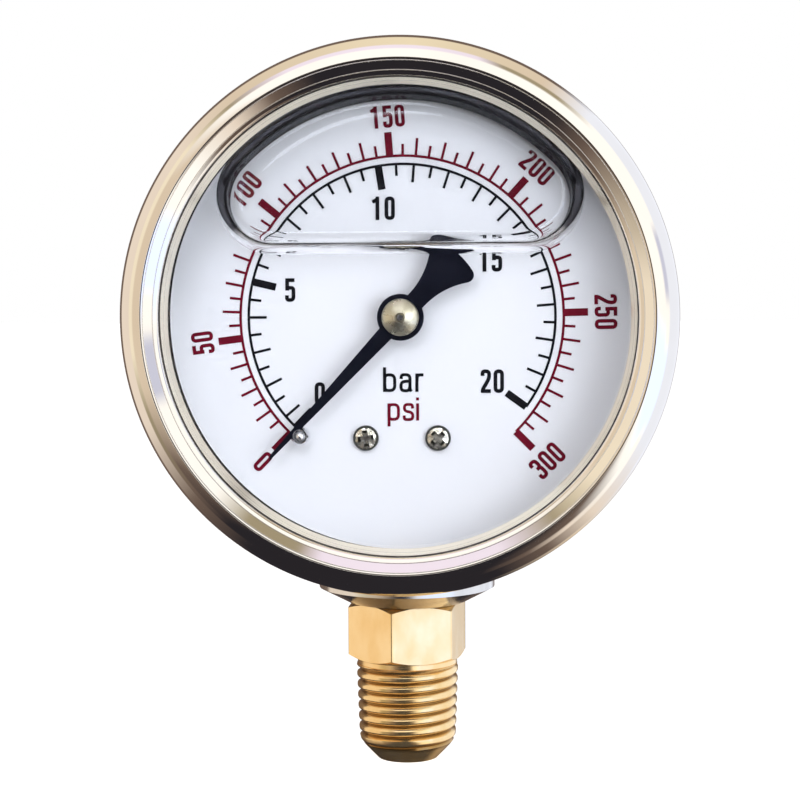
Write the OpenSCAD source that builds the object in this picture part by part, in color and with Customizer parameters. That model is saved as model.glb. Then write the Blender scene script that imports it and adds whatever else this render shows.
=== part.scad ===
// Liquid-filled pressure gauge with a Bourdon tube, millimetres.
// The origin is the centre of the stem's lower end, +Z runs up the stem and the dial faces -Y.
// Everything behind the window is drawn in the dial's own frame: x to the right, y up and
// z towards the reader, with z = 0 on the stem's axis and the dial's centre at x = y = 0.

/* [Stem] */
// Length of the threaded length
thread_len = 12.4; // [11:0.1:13]
// Thread diameter at its upper end
thread_d = 13.5; // [12.8:0.1:13.8]
// Taper of the thread, diameter lost for each millimetre of length
thread_taper = 0.0625; // [0.05:0.0025:0.07]
// Chamfer at the thread's lower end
thread_chamfer = 2; // [0.8:0.1:2.2]
// Diameter of the plain neck above the thread
neck_d = 13.2; // [12:0.1:13.4]
// Height of the plain neck
neck_h = 1; // [0.6:0.1:1.6]
// Hexagon across its flats
hex_af = 14; // [13.5:0.1:15]
// Height of the hexagon
hex_h = 7.6; // [6.5:0.1:8.5]
// Height of the case's lowest point above the hexagon
case_rise = 6.6; // [5.6:0.1:9]
// Turn of the hexagon from square with the dial, in degrees
hex_turn = 18.45; // [0:0.05:30]
// Diameter of the pressure port
port_d = 5.2; // [4:0.1:6]
// Depth of the pressure port
port_len = 17; // [12:0.5:19]
// Diameter of the restrictor screw at the port's inner end
restrictor_d = 3.6; // [3:0.1:4]
// Length of the restrictor screw
restrictor_len = 3; // [2:0.1:4]
// Diameter of the bore through the restrictor
restrictor_bore_d = 0.8; // [0.4:0.1:1.2]
// Diameter of the passage from the restrictor to the tube
passage_d = 2; // [1.4:0.1:2.4]
// Diameter of the shank where it passes the case
shank_d = 13.6; // [13:0.1:13.8]
// Width of the inner block
block_w = 14; // [13.4:0.1:16]
// Thickness of the inner block
block_t = 10; // [9.4:0.1:10.8]
// Distance from the dial's centre down to the top of the block
block_drop = 12.9; // [12.6:0.1:13.4]
// Distance from the dial's centre down to the top of the tongue that carries the movement
tongue_drop = 4.6; // [4:0.1:5.5]

/* [Case] */
// Outside diameter of the case
case_d = 62; // [58:0.25:68]
// How far the bezel ring stands out beyond the case
bezel_over = 3.5; // [3.2:0.1:5]
// Sheet thickness of the case
case_t = 0.7; // [0.5:0.05:0.8]
// Sheet thickness of the bezel ring
bezel_t = 0.7; // [0.5:0.05:0.8]
// Depth of the case behind the stem's axis
case_back = 13.5; // [12:0.25:16]
// Outer radius of the case's rear edge
case_edge_r = 2.75; // [2:0.25:5]
// Distance from the stem's axis forward to the rear of the case's flange
flange_z = 12.9; // [12.7:0.1:14]
// Outer radius of the rolled front of the bezel
roll_r = 2.6; // [2.3:0.05:2.75]
// Height of the roll above the window
roll_rise = 3.2; // [2.9:0.1:3.8]
// Width of the roll, from the outside of the bezel to its crease
roll_w = 2.84; // [2.7:0.02:3]
// Width of the sloping band inside the crease
band_w = 2.16; // [1.9:0.02:2.4]
// Slope of the band, in degrees
band_slope = 26.5; // [23:0.5:30]
// Width of the steep lip that stands on the window
lip_w = 1; // [0.8:0.05:1.2]
// Chamfer on the lip's edge
lip_chamfer = 0.2; // [0.1:0.05:0.3]
// Outer radius of the boss round the stem
boss_r = 11.6; // [11:0.1:11.8]
// Outer radius of the boss at the hexagon
boss_end_r = 7.95; // [7.9:0.05:8.2]
// Height of the boss's cone
boss_cone_h = 1.9; // [1.4:0.1:2.4]
// Height of the boss's lower end above the hexagon
boss_gap = 0.05; // [0.03:0.01:0.2]
// Thickness of the gasket behind the window
gasket_t = 0.6; // [0.4:0.05:1]
// Width of the gasket's outer rim
gasket_rim = 1.3; // [1:0.05:1.6]
// Thickness of the window
window_t = 2; // [1.6:0.1:2.6]
// Section diameter of the seal round the stem
seal_d = 1.2; // [1:0.05:1.3]
// Diameter of the filling hole
plug_d = 9; // [7:0.25:10]
// Diameter of the filling plug's head
plug_head_d = 12; // [11:0.25:13]
// Height of the filling plug's head
plug_head_h = 1.5; // [1:0.1:1.9]

/* [Dial] */
// Gap between the dial's edge and the outside of the case
dial_gap = 1.8; // [1.3:0.1:2.6]
// Thickness of the dial
dial_t = 0.5; // [0.4:0.05:0.6]
// Thickness of the printed marks
ink_t = 0.06; // [0.05:0.01:0.1]
// Pitch radius of the outer scale's arc
outer_arc_r = 20.55; // [20:0.05:21.5]
// Pitch radius of the inner scale's arc
inner_arc_r = 19.5; // [18.5:0.05:19.8]
// Width of the arc lines and of the light marks
mark_w = 0.33; // [0.25:0.01:0.4]
// Width of the heavy marks
heavy_w = 0.95; // [0.7:0.05:1.1]
// Length of the short marks
short_mark = 1.5; // [1:0.05:1.8]
// Length of the long marks
long_mark = 2.3; // [1.9:0.05:2.6]
// Length of the heavy marks
heavy_mark = 3.05; // [2.7:0.05:3.4]
// Angle of the resting mark, clockwise from twelve o'clock
rest_mark_a = -135.9; // [-140:0.1:-134.8]
// Head diameter of the dial screws
dial_screw_d = 3.25; // [2.8:0.05:3.5]
// Head height of the dial screws
dial_screw_h = 1.1; // [0.8:0.05:1.4]
// Distance of the dial screws from the middle
dial_screw_x = 4.6; // [4.2:0.1:5]
// Distance of the dial screws below the dial's centre
dial_screw_drop = 15.4; // [15:0.1:16.4]

/* [Pointer] */
// Angle of the pointer at rest, clockwise from twelve o'clock
pointer_a = -136.75; // [-140:0.05:-136]
// Height of the pointer blade above the dial
pointer_lift = 2.8; // [2.2:0.1:3.4]
// Thickness of the pointer blade
pointer_t = 0.4; // [0.3:0.05:0.6]
// Diameter of the blade's hub
hub_d = 5.9; // [5.2:0.1:6.4]
// Distance from the hub's centre to the needle's point
needle_len = 24.8; // [22:0.1:26]
// Slant of the needle's point
needle_slant = 0.7; // [0.3:0.05:1]
// Width of the needle at the hub
needle_root_w = 2; // [1.6:0.05:2.4]
// Width of the needle at its point
needle_tip_w = 0.42; // [0.3:0.02:0.6]
// Outer radius of the counterweight
tail_r = 10.8; // [9.5:0.1:12]
// Half the width of the counterweight's neck
tail_neck = 1.22; // [1:0.02:1.4]
// Radius of the counterweight's hollow sides
tail_side_r = 9.9; // [8.5:0.1:11]
// Corner radius of the counterweight
tail_corner_r = 0.95; // [0.5:0.05:1.2]
// Diameter of the turned cap in the middle
cap_d = 4.55; // [4:0.05:5]
// Height of the cap above the blade
cap_h = 1.1; // [0.8:0.05:1.4]
// Radius of the stop pin's ball
stop_r = 1.2; // [1:0.05:1.4]
// Radius of the post that the pointer rests on
stop_post_r = 0.55; // [0.4:0.05:0.7]
// Distance of the stop pin from the dial's centre
stop_dist = 19.8; // [18.5:0.1:20.5]

/* [Movement] */
// Tooth module of pinion and sector
tooth_m = 0.25; // [0.23:0.005:0.255]
// Thickness of the sector
sector_t = 1; // [0.8:0.05:1.2]
// Thickness of the back plate
back_plate_t = 1; // [0.8:0.05:1.2]
// Thickness of the front plate
front_plate_t = 0.8; // [0.6:0.05:0.8]
// Distance between the plates
plate_gap = 4.6; // [4.4:0.05:4.8]
// Radius of the pointer arbor between the plates
arbor_r = 0.8; // [0.7:0.05:0.9]
// Radius of the arbors' pivots in the plates
pivot_r = 0.4; // [0.35:0.05:0.5]
// Radial running clearance of pivots and pins
run_gap = 0.03; // [0.02:0.005:0.05]
// Radius of the pillars
pillar_r = 1.2; // [1:0.05:1.3]
// Distance from the sector's arbor to the pin in its tail
tail_arm = 4; // [3.8:0.05:4.2]
// Radius of the link's pins
link_pin_r = 0.5; // [0.4:0.05:0.6]
// Thickness of the link
link_t = 0.5; // [0.4:0.05:0.55]
// Width of the link bar
link_w = 1.4; // [1.2:0.05:1.6]
// Metal left round the link's eyes
eye_rim = 0.65; // [0.5:0.05:0.7]
// Radius of the heads of the movement's pins and screws
pin_head_r = 1.2; // [1:0.05:1.4]
// Radial clearance of the link's eye at the tube tip, where the linkage is open
eye_gap = 0.32; // [0.3:0.02:0.4]
// Turns of the hairspring
spring_turns = 4; // [3:0.5:5]
// Spacing of the hairspring's turns
spring_pitch = 0.55; // [0.5:0.05:0.6]
// Thickness of the hairspring's strip
spring_t = 0.12; // [0.1:0.01:0.16]
// Width of the hairspring's strip
spring_w = 0.4; // [0.3:0.05:0.6]

/* [Bourdon tube] */
// Radius of the tube's bend, to the middle of its section
tube_bend_r = 22; // [21.7:0.1:22.6]
// Width of the tube's section along the dial's axis
tube_w = 8; // [7:0.1:8.4]
// Thickness of the tube's section
tube_flat = 3; // [2.6:0.1:3.2]
// Wall of the tube
tube_wall = 0.4; // [0.3:0.05:0.5]
// Angle at which the tube leaves the block, from three o'clock
tube_start_a = -100; // [-102:0.5:-99]
// Length of the tube's bend in degrees
tube_span = 270; // [267:0.5:272]

/* [Hidden] */
$fn = 64;
eps = 0.01;
case_r = case_d / 2;
bezel_r = case_r + bezel_over;
dial_r = case_r - dial_gap;
crimp_in_r = 0.2;
flange_r = bezel_r - bezel_t - crimp_in_r;
gasket_z = flange_z + case_t;
window_z = gasket_z + gasket_t;
window_front = window_z + window_t;
window_r = flange_r - gasket_rim;
bezel_front = window_front + roll_rise;
roll_x = bezel_r - roll_r;
roll_z = bezel_front - roll_r;
crimp_r = bezel_t + crimp_in_r;
crease_at = [bezel_r - roll_w, roll_z + sqrt(pow(roll_r, 2) - pow(roll_w - roll_r, 2))];
bend_at = crease_at - band_w * [1, tan(band_slope)];
lip_r = bend_at[0] - lip_w;
lip_slope = atan2(bend_at[1] - window_front, lip_w);
hex_z = thread_len + neck_h;
hex_top = hex_z + hex_h;
face_h = hex_top + case_rise + case_r;
boss_z = hex_top + boss_gap;
boss_wall_z = boss_z + boss_cone_h;
passage_z = port_len + restrictor_len;
block_z = face_h - case_r + 0.3;
dial_z = block_t / 2;
dial_front = dial_z + dial_t;
blade_z = dial_front + pointer_lift;
back_plate_top = dial_z - 0.8 - front_plate_t - plate_gap;
back_plate_z = back_plate_top - back_plate_t;
front_plate_z = back_plate_top + plate_gap;
sector_z = back_plate_top + 1.2;
pinion_z = sector_z - 0.6;
pinion_h = sector_t + 1.2;
link_z = sector_z - 0.2 - link_t;
tip_front = link_z - 0.25;
spring_z = sector_z + sector_t + 0.9;
link_rivet_h = 0.3;
screw_r = 0.8;
bush_r = 1.2;
plate_screw_r = 0.6;
plate_screw_head_h = 0.6;
// Teeth on the pinion, and on the sector counted round a full circle
pinion_teeth = 12;
sector_teeth = 84;
pressure_angle = 20;
shift = 0.4;
backlash = 0.03;
centre_d = tooth_m * (pinion_teeth + sector_teeth) / 2;
sector_dir = -35;
sector_at = centre_d * [cos(sector_dir), sin(sector_dir)];
tail_dir = -54;
tail_at = sector_at + tail_arm * [cos(tail_dir), sin(tail_dir)];
tube_end_dir = tube_start_a - tube_span + 360;
cap_span = 2.5;
tip_screw_in = 2.5;
tip_dir = tube_end_dir - 8;
tip_at = tube_bend_r * [cos(tip_dir), sin(tip_dir)];
link_vec = tip_at - tail_at;
link_len = norm(link_vec);
link_dir = atan2(link_vec[1], link_vec[0]);
plate_corners = [[-4.6, 3], [14.2, -2.5], [2.2, -10.6]];
movement_screws = [[-4.8, -8], [5, -7.4]];
plate_edge_r = pillar_r + 1;
spring_in_r = arbor_r + 0.4;
spring_out_r = spring_in_r + spring_turns * spring_pitch;
stud_dir = 210;
stop_gap = 0.5;
cross_turns = [8, 42];
// The outer scale counts 300 units and the inner one 20, both over the same true zero
true_zero_a = -143.87;
outer_unit = 0.9302;
inner_unit = 13.491;

// Turns the dial's own frame into the part's
module dial_frame() {
    translate([0, 0, face_h]) rotate([90, 0, 0]) children();
}

// Turns a shape that points to twelve o'clock to an angle clockwise from there
module clock(angle) {
    rotate([0, 0, -angle]) children();
}

function polar(r, a) = r * [cos(a), sin(a)];
function arc(c, r, a0, a1, n) = [for (i = [0:n]) c + polar(r, a0 + (a1 - a0) * i / n)];
function flip_x(points) = [for (i = [len(points) - 1:-1:0]) [-points[i][0], points[i][1]]];

// Half section of a drawn cup with a round rear edge
module cup_section(r, back, front, edge) {
    translate([0, back]) square([r - edge, front - back]);
    translate([0, back + edge]) square([r, front - back - edge]);
    translate([r - edge, back + edge]) intersection() {
        circle(edge);
        translate([-eps, -edge]) square([edge + eps, edge + eps]);
    }
}

module boss_outer() {
    translate([0, 0, boss_z]) cylinder(h = boss_cone_h, r1 = boss_end_r, r2 = boss_r);
    translate([0, 0, boss_wall_z]) cylinder(h = face_h - boss_wall_z - case_r + 3, r = boss_r);
}

module boss_inner() {
    inner_r = boss_r - case_t;
    cone_r = boss_end_r - case_t * 0.35;
    translate([0, 0, boss_z + case_t]) cylinder(h = boss_cone_h, r1 = cone_r, r2 = inner_r);
    translate([0, 0, boss_wall_z + case_t]) cylinder(h = face_h - boss_wall_z - case_r + 6, r = inner_r);
}

module case_shell() {
    color("#c9c2b6") difference() {
        union() {
            dial_frame() rotate_extrude() {
                cup_section(case_r, -case_back, gasket_z, case_edge_r);
                translate([0, flange_z]) square([flange_r, case_t]);
            }
            boss_outer();
        }
        dial_frame() rotate_extrude()
            cup_section(case_r - case_t, case_t - case_back, gasket_z + 1, case_edge_r - case_t);
        boss_inner();
        translate([0, 0, boss_z - 1]) cylinder(h = 3, d = shank_d);
        dial_frame() rotate([-90, 0, 0]) cylinder(h = case_r + 1, d = plug_d);
    }
}

// Half section of the ring: crimp behind the flange, skirt, roll, sloping band and lip
module bezel_section() {
    crimp_x = bezel_r - crimp_r;
    crimp_z = flange_z + crimp_r - bezel_t;
    translate([case_r + 0.4, flange_z - bezel_t]) square([crimp_x - case_r - 0.4 + eps, bezel_t]);
    intersection() {
        translate([crimp_x, crimp_z]) difference() {
            circle(crimp_r);
            circle(crimp_r - bezel_t);
        }
        translate([crimp_x, crimp_z - crimp_r]) square(crimp_r);
    }
    translate([bezel_r - bezel_t, crimp_z - eps]) square([bezel_t, roll_z - crimp_z + 2 * eps]);
    intersection() {
        translate([roll_x, roll_z]) difference() {
            circle(roll_r);
            circle(roll_r - bezel_t);
        }
        translate([crease_at[0], roll_z]) square([roll_w, roll_r]);
    }
    band_down = [sin(band_slope), -cos(band_slope)];
    lip_down = [sin(lip_slope), -cos(lip_slope)];
    bend_under = bend_at + bezel_t * (band_down + lip_down) / (1 + cos(lip_slope - band_slope));
    polygon([
        crease_at,
        bend_at,
        [lip_r, window_front] + polar(lip_chamfer, lip_slope),
        [lip_r + lip_chamfer, window_front],
        [lip_r + bezel_t / sin(lip_slope), window_front],
        bend_under,
        crease_at - [0, bezel_t / cos(band_slope)],
        crease_at + bezel_t / 2 * [1, -1]
    ]);
}

module bezel_ring() {
    color("#d8cbb8") dial_frame() rotate_extrude() bezel_section();
}

module window() {
    color("#dfe8ec", 0.35) dial_frame() translate([0, 0, window_z]) cylinder(h = window_t, r = window_r);
}

module window_gasket() {
    color("#2c2c2e") dial_frame() difference() {
        translate([0, 0, gasket_z]) cylinder(h = gasket_t + window_t, r = flange_r);
        translate([0, 0, window_z]) cylinder(h = window_t + 1, r = window_r);
        translate([0, 0, gasket_z - 1]) cylinder(h = gasket_t + 2, r = case_r - case_t + 0.3);
    }
}

module fill_plug() {
    grip = 0.8;
    color("#262626") dial_frame() rotate([-90, 0, 0]) difference() {
        union() {
            translate([0, 0, case_r - 1.6]) cylinder(h = 3, d = plug_d);
            translate([0, 0, case_r - 1]) cylinder(h = plug_head_h + 1, d = plug_head_d);
            translate([0, 0, case_r - 2.6]) cylinder(h = 1.2, d1 = plug_d - 0.4, d2 = plug_d + grip);
        }
        // The head follows the case outside, and the groove holds the case's wall
        rotate([90, 0, 0]) difference() {
            cylinder(h = plug_head_d + 2, r = case_r, center = true);
            cylinder(h = plug_head_d + 3, r = case_r - case_t, center = true);
            rotate([-90, 0, 0]) cylinder(h = case_r + 2, d = plug_d);
        }
        rotate([90, 0, 0]) difference() {
            cylinder(h = plug_head_d + 2, r = case_r - case_t, center = true);
            rotate([-90, 0, 0]) cylinder(h = case_r, d = plug_d + grip);
        }
    }
}

module hexagon() {
    corner_d = hex_af / cos(30);
    rim = (corner_d - hex_af) / 2;
    translate([0, 0, hex_z]) intersection() {
        rotate([0, 0, hex_turn]) cylinder(h = hex_h, d = corner_d, $fn = 6);
        union() {
            cylinder(h = rim * 0.6, d1 = hex_af - 0.3, d2 = corner_d + 0.1);
            translate([0, 0, rim * 0.6]) cylinder(h = hex_h - rim * 1.2, d = corner_d + 0.1);
            translate([0, 0, hex_h - rim * 0.6])
                cylinder(h = rim * 0.6, d1 = corner_d + 0.1, d2 = hex_af - 0.3);
        }
    }
}

module tube_section(grow = 0) {
    r = tube_flat / 2 + grow;
    straight = tube_w - tube_flat;
    translate([tube_bend_r, 0]) {
        translate([0, straight / 2]) circle(r);
        translate([0, -straight / 2]) circle(r);
        translate([-r, -straight / 2]) square([2 * r, straight]);
    }
}

// Turned bend of the tube's section from one angle clockwise over a span, on the tube's middle plane
module tube_bend(from, span, grow = 0) {
    rotate([0, 0, from - span]) rotate_extrude(angle = span) tube_section(grow);
}

module stem() {
    low_d = thread_d - thread_taper * thread_len;
    color("#c98f3c") difference() {
        union() {
            cylinder(h = thread_chamfer, d1 = low_d - 2 * thread_chamfer, d2 = low_d);
            translate([0, 0, thread_chamfer])
                cylinder(h = thread_len - thread_chamfer, d1 = low_d, d2 = thread_d);
            translate([0, 0, thread_len - eps]) cylinder(h = neck_h + 2 * eps, d = neck_d);
            hexagon();
            translate([0, 0, hex_top - eps]) cylinder(h = block_z - hex_top + 0.3, d = shank_d);
            translate([-block_w / 2, -block_t / 2, block_z])
                cube([block_w, block_t, face_h - block_drop - block_z]);
            translate([-block_w / 2, -back_plate_z, block_z])
                cube([block_w, block_t / 2 + back_plate_z, face_h - tongue_drop - block_z]);
        }
        translate([0, 0, -1]) cylinder(h = port_len + 1, d = port_d);
        translate([0, 0, port_len - 1]) cylinder(h = restrictor_len + 1, d = restrictor_d);
        translate([0, 0, passage_z - 1]) cylinder(h = face_h - tube_bend_r - passage_z + 1.5, d = passage_d);
        dial_frame() tube_bend(tube_start_a + 16, 44);
        dial_frame() for (side = [-1, 1])
            translate([side * dial_screw_x, -dial_screw_drop, dial_z - 4]) cylinder(h = 5, r = screw_r);
        dial_frame() for (p = movement_screws)
            translate([p[0], p[1], back_plate_z - 2]) cylinder(h = 3, r = screw_r);
    }
}

module stem_seal() {
    color("#1f1f1f") translate([0, 0, boss_z + case_t + seal_d / 2]) rotate_extrude()
        translate([shank_d / 2 + seal_d / 2, 0]) circle(d = seal_d);
}

module restrictor() {
    slot_w = restrictor_bore_d;
    color("#b8863a") translate([0, 0, port_len]) difference() {
        cylinder(h = restrictor_len, d = restrictor_d);
        translate([0, 0, -1]) cylinder(h = restrictor_len + 2, d = restrictor_bore_d);
        translate([-restrictor_d, -slot_w / 2, -1]) cube([2 * restrictor_d, slot_w, 1 + slot_w]);
    }
}

module dial() {
    color("#ececf6") dial_frame() translate([0, 0, dial_z]) difference() {
        cylinder(h = dial_t, r = dial_r);
        translate([0, 0, -1]) cylinder(h = dial_t + 2, r = 1.7);
        for (side = [-1, 1])
            translate([side * dial_screw_x, -dial_screw_drop, -1]) cylinder(h = dial_t + 2, r = screw_r);
        clock(stop_angle()) translate([0, stop_dist, -1]) cylinder(h = dial_t + 2, r = stop_post_r);
    }
}

// Flat wedge that keeps the ring between two angles, clockwise from twelve o'clock
module wedge(a0, a1, r) {
    n = 12;
    polygon(concat([[0, 0]], [for (i = [0:n]) polar(r * 1.1, 90 - a0 - (a1 - a0) * i / n)]));
}

module scale_arc(r, a0, a1) {
    intersection() {
        difference() {
            circle(r + mark_w / 2);
            circle(r - mark_w / 2);
        }
        wedge(a0, a1, r);
    }
}

module mark(angle, r, len, w) {
    clock(angle) translate([-w / 2, len > 0 ? r : r + len]) square([w, abs(len)]);
}

// Marks from first to last, where every second one is long and every tenth heavy
module scale_marks(first, last, step_a, zero_a, r, way) {
    for (i = [first:last]) {
        heavy = i % 10 == 0;
        len = heavy ? heavy_mark : i % 2 == 0 ? long_mark : short_mark;
        mark(zero_a + i * step_a, r, way * len, heavy ? heavy_w : mark_w);
    }
    mark(rest_mark_a, r, way * heavy_mark, heavy_w);
}

module psi_scale() {
    last_a = true_zero_a + 300 * outer_unit;
    color("#8c1428") dial_frame() translate([0, 0, dial_front]) linear_extrude(ink_t) {
        scale_arc(outer_arc_r, rest_mark_a, last_a);
        scale_marks(3, 60, 5 * outer_unit, true_zero_a, outer_arc_r, 1);
    }
}

module bar_scale() {
    last_a = true_zero_a + 20 * inner_unit;
    color("#101014") dial_frame() translate([0, 0, dial_front]) linear_extrude(ink_t) {
        scale_arc(inner_arc_r, rest_mark_a, last_a);
        scale_marks(2, 40, inner_unit / 2, true_zero_a, inner_arc_r, -1);
    }
}

module dial_screws() {
    arm = dial_screw_d * 0.34;
    slot = arm / 2;
    color("#8f9398") dial_frame() for (i = [0, 1])
        translate([(2 * i - 1) * dial_screw_x, -dial_screw_drop, dial_front]) difference() {
            union() {
                translate([0, 0, -3.5]) cylinder(h = 3.6, r = screw_r);
                cylinder(h = dial_screw_h * 0.55, d = dial_screw_d);
                translate([0, 0, dial_screw_h * 0.55])
                    cylinder(h = dial_screw_h * 0.45, d1 = dial_screw_d, d2 = dial_screw_d * 0.8);
            }
            for (turn = [0, 90]) rotate([0, 0, cross_turns[i] + turn])
                translate([-arm, -slot / 2, dial_screw_h * 0.4]) cube([2 * arm, slot, dial_screw_h]);
        }
}

// The needle's half width at the stop pin puts the pin's post against its side
function stop_half_w() = (needle_root_w + (needle_tip_w - needle_root_w) * (stop_dist - hub_d / 2)
    / (needle_len - hub_d / 2)) / 2;
function stop_angle() = pointer_a - asin((stop_half_w() + stop_post_r + 0.02) / stop_dist);

module stop_pin() {
    color("#c8ccd2") dial_frame() clock(stop_angle()) translate([0, stop_dist, 0]) {
        translate([0, 0, dial_z - 0.4]) cylinder(h = blade_z + pointer_t + 0.5 - dial_z + 0.4, r = stop_post_r);
        translate([0, 0, dial_front]) intersection() {
            translate([0, 0, pointer_lift - stop_gap - stop_r]) sphere(stop_r);
            cylinder(h = pointer_lift, r = 2 * stop_r);
        }
    }
}

// Fan-shaped counterweight, which points to twelve o'clock
module tail_outline() {
    side_c = [tail_neck + tail_side_r, 3];
    reach = tail_r - tail_corner_r;
    side_reach = tail_side_r + tail_corner_r;
    d = norm(side_c);
    along = (reach * reach - side_reach * side_reach + d * d) / (2 * d);
    across = sqrt(reach * reach - along * along);
    corner = [side_c[0] * along - side_c[1] * across, side_c[1] * along + side_c[0] * across] / d;
    corner_a = atan2(corner[1], corner[0]);
    side_a = atan2(corner[1] - side_c[1], corner[0] - side_c[0]);
    half = concat([[tail_neck, 0]], arc(side_c, tail_side_r, 180, side_a, 10),
        arc(corner, tail_corner_r, side_a - 180, corner_a, 5), arc([0, 0], tail_r, corner_a, 90, 5));
    polygon(concat(half, flip_x(half)));
}

module pointer() {
    needle_y0 = hub_d / 2 - 0.4;
    color("#0c0d14") dial_frame() translate([0, 0, blade_z]) clock(pointer_a) difference() {
        union() {
            cylinder(h = pointer_t, d = hub_d);
            linear_extrude(pointer_t) polygon([[-needle_root_w / 2, needle_y0], [needle_root_w / 2, needle_y0],
                [needle_tip_w / 2, needle_len - needle_slant], [-needle_tip_w / 2, needle_len]]);
            rotate([0, 0, 180]) linear_extrude(pointer_t) tail_outline();
        }
        translate([0, 0, -1]) cylinder(h = pointer_t + 2, r = bush_r);
    }
}

module pointer_cap() {
    color("#cdbd8c") dial_frame() translate([0, 0, blade_z]) difference() {
        union() {
            translate([0, 0, -1]) cylinder(h = 1 + pointer_t + eps, r = bush_r);
            translate([0, 0, pointer_t]) cylinder(h = cap_h * 0.5, d = cap_d);
            translate([0, 0, pointer_t + cap_h * 0.5]) cylinder(h = cap_h * 0.5, d1 = cap_d, d2 = cap_d * 0.55);
        }
        translate([0, 0, -2]) cylinder(h = cap_h + pointer_t + 4, r = pivot_r);
    }
}

function involute(a) = tan(a) * 180 / PI - a;
// Half the angle that a tooth takes up at radius r
function tooth_half(r, teeth, x) =
    let (pitch_r = tooth_m * teeth / 2, base_r = pitch_r * cos(pressure_angle))
    (90 + 2 * x * tan(pressure_angle) * 180 / PI) / teeth - backlash / pitch_r * 45 / PI
    + involute(pressure_angle) - (r > base_r ? involute(acos(base_r / r)) : 0);

// One tooth on the x axis, from inside the root circle out to the tip
module tooth(teeth, x, root_r, tip_r) {
    steps = 5;
    base_r = tooth_m * teeth / 2 * cos(pressure_angle);
    low_r = max(base_r, root_r);
    radii = concat([root_r - 0.1, low_r], [for (i = [1:steps]) low_r + (tip_r - low_r) * i / steps]);
    upper = [for (r = radii) polar(r, tooth_half(max(r, low_r), teeth, x))];
    lower = [for (i = [len(radii) - 1:-1:0]) polar(radii[i], -tooth_half(max(radii[i], low_r), teeth, x))];
    polygon(concat(upper, lower));
}

pinion_root_r = tooth_m * (pinion_teeth / 2 - 1.25 + shift);
pinion_tip_r = tooth_m * (pinion_teeth / 2 + 1 + shift);
sector_root_r = tooth_m * (sector_teeth / 2 - 1.25 - shift);
sector_tip_r = tooth_m * (sector_teeth / 2 + 1 - shift);

module pointer_arbor() {
    tip_z = blade_z + pointer_t + cap_h + 0.25;
    color("#b9a46a") dial_frame() {
        translate([0, 0, back_plate_z]) cylinder(h = back_plate_t + 0.1, r = pivot_r);
        translate([0, 0, back_plate_top + 0.1]) cylinder(h = plate_gap - 0.2, r = arbor_r);
        translate([0, 0, front_plate_z - 0.1 - eps]) cylinder(h = tip_z - front_plate_z + 0.1, r = pivot_r);
        translate([0, 0, pinion_z]) linear_extrude(pinion_h) {
            circle(pinion_root_r);
            for (i = [0:pinion_teeth - 1])
                rotate([0, 0, sector_dir + (i + 0.5) * 360 / pinion_teeth])
                    tooth(pinion_teeth, shift, pinion_root_r, pinion_tip_r);
        }
    }
}

// Wedge with its point on the sector's arbor, between two angles
module sector_wedge(a0, a1) {
    polygon(concat([polar(0.5, (a0 + a1) / 2)], arc([0, 0], sector_tip_r * 1.2, a0, a1, 6)));
}

module sector() {
    tooth_step = 360 / sector_teeth;
    mesh_dir = sector_dir + 180;
    first = -2;
    last = 11;
    mid_dir = mesh_dir - (first + last) / 2 * tooth_step;
    half_span = (last - first + 1) / 2 * tooth_step + 0.4;
    arm_span = 9;
    color("#c2a45c") dial_frame() translate([sector_at[0], sector_at[1], sector_z]) difference() {
        union() {
            cylinder(h = sector_t, r = 2);
            // Rim and arms
            intersection() {
                cylinder(h = sector_t, r = sector_root_r);
                linear_extrude(sector_t) sector_wedge(mid_dir - half_span, mid_dir + half_span);
            }
            for (i = [first:last])
                rotate([0, 0, mesh_dir - i * tooth_step]) linear_extrude(sector_t)
                    tooth(sector_teeth, -shift, sector_root_r, sector_tip_r);
            // Tail
            rotate([0, 0, tail_dir]) {
                translate([0, -1, 0]) cube([tail_arm, 2, sector_t]);
                translate([tail_arm, 0, 0]) cylinder(h = sector_t, r = 1.2);
            }
        }
        // Opening between the arms
        translate([0, 0, -1]) intersection() {
            difference() {
                cylinder(h = sector_t + 2, r = sector_root_r - 1.5);
                cylinder(h = sector_t + 2, r = 3);
            }
            linear_extrude(sector_t + 2)
                sector_wedge(mid_dir - half_span + arm_span, mid_dir + half_span - arm_span);
        }
        translate([0, 0, -1]) cylinder(h = sector_t + 2, r = arbor_r);
        translate([tail_arm * cos(tail_dir), tail_arm * sin(tail_dir), -1])
            cylinder(h = sector_t + 2, r = link_pin_r + run_gap);
    }
}

module sector_arbor() {
    color("#9aa0a6") dial_frame() translate([sector_at[0], sector_at[1], 0]) {
        translate([0, 0, back_plate_z]) cylinder(h = back_plate_t + plate_gap + front_plate_t, r = pivot_r);
        translate([0, 0, back_plate_top + 0.1]) cylinder(h = plate_gap - 0.2, r = arbor_r);
    }
}

module link() {
    color("#c7b27a") dial_frame() translate([tail_at[0], tail_at[1], link_z]) rotate([0, 0, link_dir])
        linear_extrude(link_t) difference() {
            union() {
                circle(link_pin_r + eye_rim);
                translate([link_len, 0]) circle(link_pin_r + eye_gap + eye_rim);
                translate([0, -link_w / 2]) square([link_len, link_w]);
            }
            circle(link_pin_r);
            translate([link_len, 0]) circle(link_pin_r + eye_gap);
        }
}

module link_pin() {
    color("#8f9398") dial_frame() translate([tail_at[0], tail_at[1], 0]) {
        translate([0, 0, link_z]) cylinder(h = sector_z + sector_t + 0.05 - link_z + eps, r = link_pin_r);
        translate([0, 0, sector_z + sector_t + 0.05]) cylinder(h = link_rivet_h, r = 0.9);
    }
}

module bourdon_tube() {
    color("#c79a4a") dial_frame() difference() {
        tube_bend(tube_start_a + 6, tube_span + 6);
        tube_bend(tube_start_a + 7, tube_span + 8, -tube_wall);
    }
}

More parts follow.
